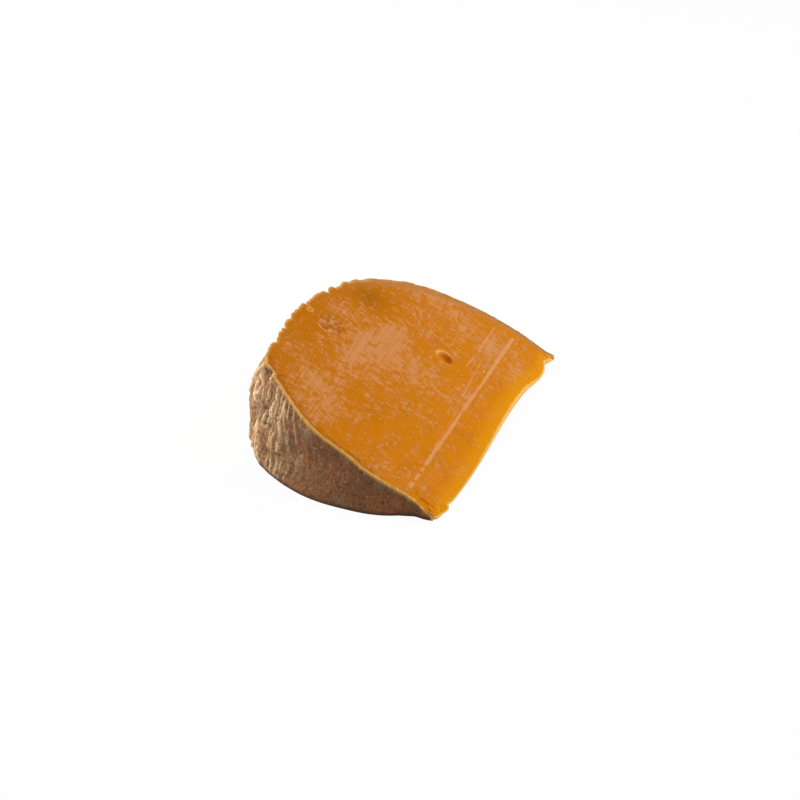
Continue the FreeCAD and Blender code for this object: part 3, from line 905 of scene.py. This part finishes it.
def paste_material(colours):
    """Aged hard paste, dyed with annatto and cut with a knife: dense and slightly translucent, matt
    where the blade tore it, with a satin smear where the blade pressed it flat. The smear's pale
    colour and flecks are painted sheen, and the darker paste towards the rind, beside the rim on
    the base side and in the dent is painted shade."""
    material, tree = new_material("aged annatto cheese paste")
    value = {}
    for name in (
        "from_rim",
        "from_edge",
        "shade",
        "band",
        "deep",
        "eye",
        "lip",
        "torn",
        "sheen",
        "dent",
        "gilded",
        "dome",
    ):
        value[name] = add_node(tree, "ShaderNodeAttribute", attribute_name=name).outputs["Fac"]
    place = add_node(tree, "ShaderNodeTexCoord").outputs["Object"]
    stroke = add_node(
        tree,
        "ShaderNodeMapping",
        {"Vector": place, "Rotation": (0.0, 0.0, -KNIFE_TURN), "Scale": (1 / MM, 1 / MM, 1 / MM)},
    ).outputs[0]
    # Noise patterns: their grain across the knife's stroke, along it and upwards in millimetres,
    # then their detail, roughness and distortion.
    for name, grain, detail, rough, twist in (
        ("scores", (0.5, 26.0, 3.0), 2.0, 0.6, 0.0),
        ("flecks", (3.0, 2.6, 2.6), 4.0, 0.64, 0.8),
        ("dashes", (4.6, 1.4, 3.0), 4.0, 0.64, 0.7),
        ("cloud", (9.0, 13.0, 9.0), 2.0, 0.5, 0.0),
        ("specks", (0.8, 0.8, 0.8), 0.0, 0.5, 0.0),
    ):
        stretched = add_node(
            tree, "ShaderNodeMapping", {"Vector": stroke, "Scale": [1 / size for size in grain]}
        ).outputs[0]
        value[name] = add_node(
            tree,
            "ShaderNodeTexNoise",
            {
                "Vector": stretched,
                "Scale": 1.0,
                "Detail": detail,
                "Roughness": rough,
                "Distortion": twist,
            },
        ).outputs[0]
    # Steps in order. A ramp goes from 0 at its first number to its last one at its second, and the
    # others are sums: the first value times the second, plus the third.
    for name, step, *terms in (
        ("rough", "MULTIPLY_ADD", "dashes", 0.9, "flecks"),
        ("rough", "MULTIPLY_ADD", "scores", 0.4, "rough"),
        ("wanted", "MULTIPLY_ADD", "sheen", 0.33, "rough"),
        ("wanted", "MULTIPLY_ADD", "cloud", 0.45, "wanted"),
        ("open", "ramp", "from_rim", 0.8, 3.5, 1.0),
        ("grooved", "ramp", "scores", 0.36, 0.6, 0.35),
        ("grooved", "MULTIPLY_ADD", "grooved", 1.0, 0.7),
        # Painted sheen: the smear's pale colour, in soft patches and sharper flecks.
        ("soft", "ramp", "wanted", 1.37, 1.74, 0.66),
        ("soft", "MULTIPLY_ADD", "soft", "grooved", 0.0),
        ("soft", "MULTIPLY_ADD", "soft", "open", 0.0),
        ("sheen_flecks", "ramp", "wanted", 1.57, 1.7, 0.38),
        ("sheen_flecks", "MULTIPLY_ADD", "sheen_flecks", "grooved", 0.0),
        ("sheen_flecks", "MULTIPLY_ADD", "sheen_flecks", "open", 0.0),
        ("far_rim", "MULTIPLY_ADD", "dashes", 11.0, "from_rim"),
        ("far_rim", "ramp", "far_rim", 10.2, 7.2, 0.75),
        ("far_rim", "MULTIPLY_ADD", "far_rim", "dome", 0.0),
        ("streaky", "MULTIPLY_ADD", "scores", 1.2, "band"),
        ("banded", "ramp", "streaky", 0.95, 1.4, 0.85),
        ("glow", "ramp", "from_edge", 10.0, 0.5, 0.9),
        ("line", "MULTIPLY_ADD", "flecks", -1.6, "from_edge"),
        ("line", "ramp", "line", -0.1, -0.9, 0.95),
        ("white", "ramp", "specks", 0.82, 0.86, 0.7),
        ("cloudy", "ramp", "cloud", 0.42, 0.62, 0.4),
        ("flaky", "MULTIPLY_ADD", "flecks", 1.6, "torn"),
        ("flaky", "ramp", "flaky", 1.5, 1.64, 0.7),
    ):
        if step == "ramp":
            source, start, end, most = terms
            value[name] = add_node(
                tree,
                "ShaderNodeMapRange",
                {"Value": value[source], "From Min": start, "From Max": end, "To Max": most},
                interpolation_type="SMOOTHSTEP",
            ).outputs[0]
        else:
            inputs = {slot: value.get(term, term) for slot, term in enumerate(terms)}
            value[name] = add_node(tree, "ShaderNodeMath", inputs, operation=step).outputs[0]
    body = colours.paste
    for share, tint in (
        # Painted shade: darker towards the rind. The darker clouds below are the paste's own.
        ("deep", colours.deep),
        ("cloudy", colours.deep),
        # Painted shade beside the rim on the base side and in the dent.
        ("shade", colours.shade),
        ("dent", colours.shade),
        # Painted sheen: the smear and its flecks.
        ("soft", colours.smear),
        ("sheen_flecks", colours.fleck),
        ("far_rim", colours.section),
        ("glow", colours.edge),
        ("gilded", colours.edge_line),
        ("banded", colours.band),
        ("flaky", colours.fleck),
        ("white", colours.crystal),
        ("line", colours.edge_line),
        ("eye", colours.eye),
        ("lip", colours.edge_line),
    ):
        body = add_node(
            tree, "ShaderNodeMix", {"Factor": value[share], 6: body, 7: tint}, data_type="RGBA"
        ).outputs[2]
    sheen = add_node(
        tree, "ShaderNodeMapRange", {"Value": value["soft"], "To Min": 0.6, "To Max": 0.4}
    ).outputs[0]
    bumpy = add_node(
        tree, "ShaderNodeBump", {"Height": value["rough"], "Strength": 0.5, "Distance": 0.0004}
    ).outputs[0]
    shader = add_node(
        tree,
        "ShaderNodeBsdfPrincipled",
        {
            "Base Color": body,
            "Roughness": sheen,
            "Normal": bumpy,
            "IOR": 1.45,
            "Specular IOR Level": 0.05,
            "Subsurface Weight": 0.2,
            "Subsurface Radius": (1.0, 0.4, 0.05),
            "Subsurface Scale": 0.003,
        },
    ).outputs[0]
    add_node(tree, "ShaderNodeOutputMaterial", {"Surface": shader})
    return material


def rind_material(colours):
    """Natural rind that cheese mites worked for months: dry, matt and dusty brown, with greyish and
    rusty patches. Its crests get a painted highlight, its pits and cracks painted shade and its
    foot along the floor a painted shadow. Its cut edge is golden and waxy."""
    material, tree = new_material("mite-worked natural cheese rind")
    value = {}
    for name in ("crests", "pit_shade", "flank", "low", "on_cut", "through", "dome", "gilt"):
        value[name] = add_node(tree, "ShaderNodeAttribute", attribute_name=name).outputs["Fac"]
    place = add_node(tree, "ShaderNodeTexCoord").outputs["Object"]
    # Noise patterns by the length of their grain in millimetres, with their detail.
    for name, grain, detail in (
        ("patches", 10.0, 4.0),
        ("blotches", 4.5, 3.0),
        ("dust", 1.1, 3.0),
        ("specks", 0.9, 0.0),
    ):
        value[name] = add_node(
            tree,
            "ShaderNodeTexNoise",
            {"Vector": place, "Scale": 1 / (grain * MM), "Detail": detail},
        ).outputs[0]
    # Ramps: from 0 at the first number to the last one at the second.
    for name, source, start, end, most in (
        ("grey", "patches", 0.54, 0.64, 0.4),
        ("rusty", "patches", 0.45, 0.36, 0.42),
        ("mottled", "blotches", 0.45, 0.65, 0.45),
        ("dusty", "dust", 0.55, 0.75, 0.2),
        ("dark", "specks", 0.64, 0.74, 0.6),
        ("crusted", "through", 0.2, 0.42, 0.9),
        ("inner", "through", 0.6, 0.95, 0.7),
        ("golden", "dust", 0.55, 0.68, 0.8),
        ("flecked", "dust", 0.5, 0.6, 0.55),
    ):
        value[name] = add_node(
            tree,
            "ShaderNodeMapRange",
            {"Value": value[source], "From Min": start, "From Max": end, "To Max": most},
            interpolation_type="SMOOTHSTEP",
        ).outputs[0]
    # Three surfaces, each as layers from the bottom one up: the outside, and the cut edge of the
    # rind at the dome and elsewhere. They are then put where they belong.
    for name, first, layers in (
        (
            "outside",
            colours.base_rind,
            (
                ("flank", colours.rind),
                ("grey", colours.bloom),
                ("rusty", colours.rust),
                ("mottled", colours.dusk),
                ("dusty", colours.crest),
                # Painted highlight on the crests.
                ("crests", colours.crest),
                # Painted shade in the pits and cracks.
                ("dark", colours.pit),
                ("pit_shade", colours.pit),
                # Painted shadow along the floor.
                ("low", colours.pit),
                ("gilt", colours.lip),
            ),
        ),
        (
            "dome_edge",
            colours.lip,
            (("crusted", colours.crust), ("inner", colours.section), ("flecked", colours.fleck)),
        ),
        ("edge", colours.lip, (("mottled", colours.crust), ("golden", colours.edge_line))),
        ("edge", "edge", (("dome", "dome_edge"),)),
        ("outside", "outside", (("on_cut", "edge"),)),
    ):
        surface = value.get(first, first) if isinstance(first, str) else first
        for share, tint in layers:
            tint = value[tint] if isinstance(tint, str) else tint
            surface = add_node(
                tree,
                "ShaderNodeMix",
                {"Factor": value[share], 6: surface, 7: tint},
                data_type="RGBA",
            ).outputs[2]
        value[name] = surface
    bumpy = add_node(
        tree, "ShaderNodeBump", {"Height": value["dust"], "Strength": 0.6, "Distance": 0.0005}
    ).outputs[0]
    shader = add_node(
        tree,
        "ShaderNodeBsdfPrincipled",
        {
            "Base Color": value["outside"],
            "Roughness": 0.6,
            "Normal": bumpy,
            "IOR": 1.45,
            "Specular IOR Level": 0.28,
        },
    ).outputs[0]
    add_node(tree, "ShaderNodeOutputMaterial", {"Surface": shader})
    return material


# ---- Settings ------------------------------------------------------------------------------------


class PasteSizes(bpy.types.PropertyGroup):
    """Sizes of the paste's details."""

    rings: IntProperty(name="Rings", description="Rings along the rim", default=560, min=100)
    rows: IntProperty(
        name="Rows", description="Rows from the thin edge to the rim", default=130, min=30
    )
    burr_height: FloatProperty(
        name="Burr height",
        description="Height of the burr along the knife's crease",
        default=0.3 * MM,
        precision=5,
        unit="LENGTH",
    )
    eye_length: FloatProperty(
        name="Eye length",
        description="Length of the eye up the cut",
        default=7.2 * MM,
        precision=5,
        unit="LENGTH",
    )
    eye_width: FloatProperty(
        name="Eye width",
        description="Width of the eye along the core line",
        default=5.6 * MM,
        precision=5,
        unit="LENGTH",
    )
    eye_depth: FloatProperty(
        name="Eye depth",
        description="Depth of the eye below the cut",
        default=2.3 * MM,
        precision=5,
        unit="LENGTH",
    )


class RindSizes(bpy.types.PropertyGroup):
    """Sizes of the rind's details."""

    rings: IntProperty(name="Rings", description="Rings along the rim", default=680, min=100)
    columns: IntProperty(name="Columns", description="Columns up the outside", default=118, min=20)
    thin: FloatProperty(
        name="Thickness at the base",
        description="Thickness of the rind round the base",
        default=1.2 * MM,
        precision=5,
        unit="LENGTH",
    )
    thick: FloatProperty(
        name="Thickness at the dome",
        description="Thickness of the rind round the dome",
        default=2.2 * MM,
        precision=5,
        unit="LENGTH",
    )
    wrinkle_spacing: FloatProperty(
        name="Wrinkle spacing",
        description="Distance from crest to crest of the finer wrinkles",
        default=2.7 * MM,
        precision=5,
        unit="LENGTH",
    )
    wrinkle_height: FloatProperty(
        name="Wrinkle height",
        description="Height of the tallest crests",
        default=1.15 * MM,
        precision=5,
        unit="LENGTH",
    )
    pit_depth: FloatProperty(
        name="Pit depth",
        description="Depth of the pits that the mites made",
        default=0.7 * MM,
        precision=5,
        unit="LENGTH",
    )


class Colours(bpy.types.PropertyGroup):
    """Colours of the cheese, written as sRGB hex codes and kept as linear colours."""

    paste: FloatVectorProperty(
        name="Paste",
        description="Body of the paste",
        subtype="COLOR",
        size=4,
        min=0.0,
        max=1.0,
        default=colour("#D67E00"),
    )
    # Painted shade towards the rind; the paste's darker clouds take this colour too.
    deep: FloatVectorProperty(
        name="Deep paste",
        description="Paste towards the rind, and its darker clouds",
        subtype="COLOR",
        size=4,
        min=0.0,
        max=1.0,
        default=colour("#C27000"),
    )
    # Painted shade beside the rim on the base side and in the dent; the flaked hollow takes it too.
    shade: FloatVectorProperty(
        name="Shaded paste",
        description="Paste just inside the rind and in the dent",
        subtype="COLOR",
        size=4,
        min=0.0,
        max=1.0,
        default=colour("#A65E00"),
    )
    # Painted sheen: the smear's pale colour.
    smear: FloatVectorProperty(
        name="Smear",
        description="Paste that the knife pressed flat",
        subtype="COLOR",
        size=4,
        min=0.0,
        max=1.0,
        default=colour("#D08A4C"),
    )
    # Painted sheen for the flecks in the smear; the torn flecks take this colour too.
    fleck: FloatVectorProperty(
        name="Flecks",
        description="Torn flecks in the smear",
        subtype="COLOR",
        size=4,
        min=0.0,
        max=1.0,
        default=colour("#DE9E6E"),
    )
    crystal: FloatVectorProperty(
        name="Crystals",
        description="Tiny white crystals",
        subtype="COLOR",
        size=4,
        min=0.0,
        max=1.0,
        default=colour("#F0D2B4"),
    )
    band: FloatVectorProperty(
        name="Band",
        description="Smear beside the crease",
        subtype="COLOR",
        size=4,
        min=0.0,
        max=1.0,
        default=colour("#DE9A62"),
    )
    edge: FloatVectorProperty(
        name="Thin edge",
        description="Where light comes through",
        subtype="COLOR",
        size=4,
        min=0.0,
        max=1.0,
        default=colour("#E69400"),
    )
    edge_line: FloatVectorProperty(
        name="Edge line",
        description="Dry corner of the thin edge",
        subtype="COLOR",
        size=4,
        min=0.0,
        max=1.0,
        default=colour("#F0BE68"),
    )
    eye: FloatVectorProperty(
        name="Eye",
        description="Inside of the eye",
        subtype="COLOR",
        size=4,
        min=0.0,
        max=1.0,
        default=colour("#DE7E10"),
    )
    lip: FloatVectorProperty(
        name="Lip",
        description="Cut edge of the rind at the base",
        subtype="COLOR",
        size=4,
        min=0.0,
        max=1.0,
        default=colour("#D4A04A"),
    )
    crust: FloatVectorProperty(
        name="Crust",
        description="Cut edge of the rind at the dome",
        subtype="COLOR",
        size=4,
        min=0.0,
        max=1.0,
        default=colour("#A8621E"),
    )
    section: FloatVectorProperty(
        name="Section",
        description="Paste that dried under the rind at the dome",
        subtype="COLOR",
        size=4,
        min=0.0,
        max=1.0,
        default=colour("#C48246"),
    )
    rind: FloatVectorProperty(
        name="Flank rind",
        description="Rind round the widest circle",
        subtype="COLOR",
        size=4,
        min=0.0,
        max=1.0,
        default=colour("#A4764A"),
    )
    base_rind: FloatVectorProperty(
        name="Base rind",
        description="Rind on the base",
        subtype="COLOR",
        size=4,
        min=0.0,
        max=1.0,
        default=colour("#784A26"),
    )
    # Painted highlight on the wrinkle crests; the rind's dust takes this colour too.
    crest: FloatVectorProperty(
        name="Crests",
        description="Worn tops of the wrinkles",
        subtype="COLOR",
        size=4,
        min=0.0,
        max=1.0,
        default=colour("#EECC9C"),
    )
    # Also painted shade in the pits and cracks and painted shadow along the floor; the dark specks
    # are the rind's own.
    pit: FloatVectorProperty(
        name="Pits",
        description="Floors of the pits and cracks",
        subtype="COLOR",
        size=4,
        min=0.0,
        max=1.0,
        default=colour("#452710"),
    )
    bloom: FloatVectorProperty(
        name="Bloom",
        description="Greyish patches",
        subtype="COLOR",
        size=4,
        min=0.0,
        max=1.0,
        default=colour("#846A4C"),
    )
    rust: FloatVectorProperty(
        name="Rust",
        description="Rusty patches",
        subtype="COLOR",
        size=4,
        min=0.0,
        max=1.0,
        default=colour("#98562A"),
    )
    dusk: FloatVectorProperty(
        name="Dusk",
        description="Darker mottling",
        subtype="COLOR",
        size=4,
        min=0.0,
        max=1.0,
        default=colour("#64462C"),
    )


def millimetres(group):
    """A group's settings as plain numbers, with its lengths in millimetres."""
    kinds = group.bl_rna.properties
    plain = SimpleNamespace()
    for name in group.__annotations__:
        value = getattr(group, name)
        setattr(plain, name, value / MM if kinds[name].type == "FLOAT" else value)
    return plain


# ---- Operators -----------------------------------------------------------------------------------


class CHEESE_OT_paste(bpy.types.Operator):
    """Build the paste with its knife marks, eye and thin edge"""

    bl_idname = "cheese.build_paste"
    bl_label = "Build the paste"

    def execute(self, context):
        scene = context.scene
        sizes, rind_sizes = millimetres(scene.cheese_paste), millimetres(scene.cheese_rind)
        build_paste(sizes, rind_sizes, paste_material(scene.cheese_colours))
        return {"FINISHED"}


class CHEESE_OT_rind(bpy.types.Operator):
    """Build the rind with its furrows, pits and cut edge"""

    bl_idname = "cheese.build_rind"
    bl_label = "Build the rind"

    def execute(self, context):
        scene = context.scene
        sizes, paste_sizes = millimetres(scene.cheese_rind), millimetres(scene.cheese_paste)
        build_rind(sizes, paste_sizes, rind_material(scene.cheese_colours))
        return {"FINISHED"}


def look_at(thing, target):
    """Turns a lamp or a camera towards a place."""
    way = Vector(target) - thing.location
    thing.rotation_euler = way.to_track_quat("-Z", "Y").to_euler()


def sees_background(tree):
    """1 for the rays that should meet the plain white background, which come from the camera or are
    sent on by a glossy or a clear surface, and 0 for those that light the wedge."""
    path = add_node(tree, "ShaderNodeLightPath").outputs
    found = path["Is Camera Ray"]
    for other in ("Is Glossy Ray", "Is Transmission Ray"):
        found = add_node(
            tree, "ShaderNodeMath", {0: found, 1: path[other]}, operation="MAXIMUM"
        ).outputs[0]
    return found


def floor_material():
    """Matt white paper: plain white to the eye, with just enough of its own shading left to take
    the wedge's shadow."""
    material, tree = new_material("white paper")
    paper = add_node(tree, "ShaderNodeBsdfDiffuse", {"Color": colour("#E6E6E6")}).outputs[0]
    white = {"Color": (1.0, 1.0, 1.0, 1.0), "Strength": 1.0}
    glow = add_node(tree, "ShaderNodeEmission", white).outputs[0]
    share = add_node(
        tree, "ShaderNodeMath", {0: sees_background(tree), 1: FLOOR_WHITENESS}, operation="MULTIPLY"
    ).outputs[0]
    mixed = add_node(tree, "ShaderNodeMixShader", {0: share, 1: paper, 2: glow}).outputs[0]
    add_node(tree, "ShaderNodeOutputMaterial", {"Surface": mixed})
    return material


def lay_floor(scene):
    """A square of white paper under the wedge."""
    mesh = bpy.data.meshes.new("floor")
    signs = ((-1, -1), (1, -1), (1, 1), (-1, 1))
    corners = [(x * FLOOR_REACH, y * FLOOR_REACH, 0.0) for x, y in signs]
    mesh.from_pydata(corners, [], [(0, 1, 2, 3)])
    mesh.materials.append(floor_material())
    floor = bpy.data.objects.new("floor", mesh)
    scene.collection.objects.link(floor)


def hang_sky(scene):
    """An even sky that lights softly and that looks white where it is seen."""
    world = bpy.data.worlds.new("studio")
    scene.world = world
    world.use_nodes = True
    tree = world.node_tree
    tree.nodes.clear()
    strength = add_node(
        tree,
        "ShaderNodeMapRange",
        {"Value": sees_background(tree), "To Min": SKY_LIGHT, "To Max": 1.0},
    ).outputs[0]
    sky = add_node(
        tree, "ShaderNodeBackground", {"Color": (1.0, 1.0, 1.0, 1.0), "Strength": strength}
    ).outputs[0]
    add_node(tree, "ShaderNodeOutputWorld", {"Surface": sky})


def hang_lamps(scene, target):
    """Square lamps that face the wedge."""
    for name, spot, size, power in LAMPS:
        light = bpy.data.lights.new(name, "AREA")
        light.size = size
        light.energy = power
        lamp = bpy.data.objects.new(name, light)
        lamp.location = spot
        look_at(lamp, target)
        scene.collection.objects.link(lamp)


def set_camera(scene):
    """The camera, on a line back from the place that it looks at."""
    view = bpy.data.cameras.new("camera")
    view.lens = LENS
    view.sensor_width = SENSOR
    camera = bpy.data.objects.new("camera", view)
    target = Vector(ball_shift() + AIM) * MM
    flat = math.cos(ELEVATION)
    back = (math.sin(AZIMUTH) * flat, -math.cos(AZIMUTH) * flat, math.sin(ELEVATION))
    camera.location = target + Vector(back) * DISTANCE * MM
    look_at(camera, target)
    scene.collection.objects.link(camera)
    scene.camera = camera


class CHEESE_OT_stage(bpy.types.Operator):
    """Lay the floor, hang the lamps and set up the camera"""

    bl_idname = "cheese.build_stage"
    bl_label = "Build the stage"

    def execute(self, context):
        scene = context.scene
        low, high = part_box(NODE)
        lay_floor(scene)
        hang_sky(scene)
        hang_lamps(scene, (low + high) / 2)
        set_camera(scene)
        scene.view_settings.view_transform = "Standard"
        return {"FINISHED"}


class CHEESE_PT_panel(bpy.types.Panel):
    """The wedge's tools in the 3D view's sidebar"""

    bl_idname = "CHEESE_PT_panel"
    bl_label = "Cheese wedge"
    bl_space_type = "VIEW_3D"
    bl_region_type = "UI"
    bl_category = "Cheese"

    def draw(self, context):
        scene = context.scene
        colours = self.layout.box()
        for name in scene.cheese_colours.__annotations__:
            colours.prop(scene.cheese_colours, name)
        for operator, group in (
            (CHEESE_OT_paste, scene.cheese_paste),
            (CHEESE_OT_rind, scene.cheese_rind),
        ):
            box = self.layout.box()
            for name in group.__annotations__:
                box.prop(group, name)
            box.operator(operator.bl_idname)
        self.layout.operator(CHEESE_OT_stage.bl_idname)


CLASSES = (
    PasteSizes,
    RindSizes,
    Colours,
    CHEESE_OT_paste,
    CHEESE_OT_rind,
    CHEESE_OT_stage,
    CHEESE_PT_panel,
)


def register():
    for cls in CLASSES:
        bpy.utils.register_class(cls)
    bpy.types.Scene.cheese_paste = PointerProperty(type=PasteSizes)
    bpy.types.Scene.cheese_rind = PointerProperty(type=RindSizes)
    bpy.types.Scene.cheese_colours = PointerProperty(type=Colours)


def unregister():
    for name in ("cheese_paste", "cheese_rind", "cheese_colours"):
        delattr(bpy.types.Scene, name)
    for cls in reversed(CLASSES):
        bpy.utils.unregister_class(cls)


def main():
    """Builds the dressed wedge and its stage."""
    register()
    bpy.ops.cheese.build_paste()
    bpy.ops.cheese.build_rind()
    bpy.ops.cheese.build_stage()


if __name__ == "__main__":
    main()
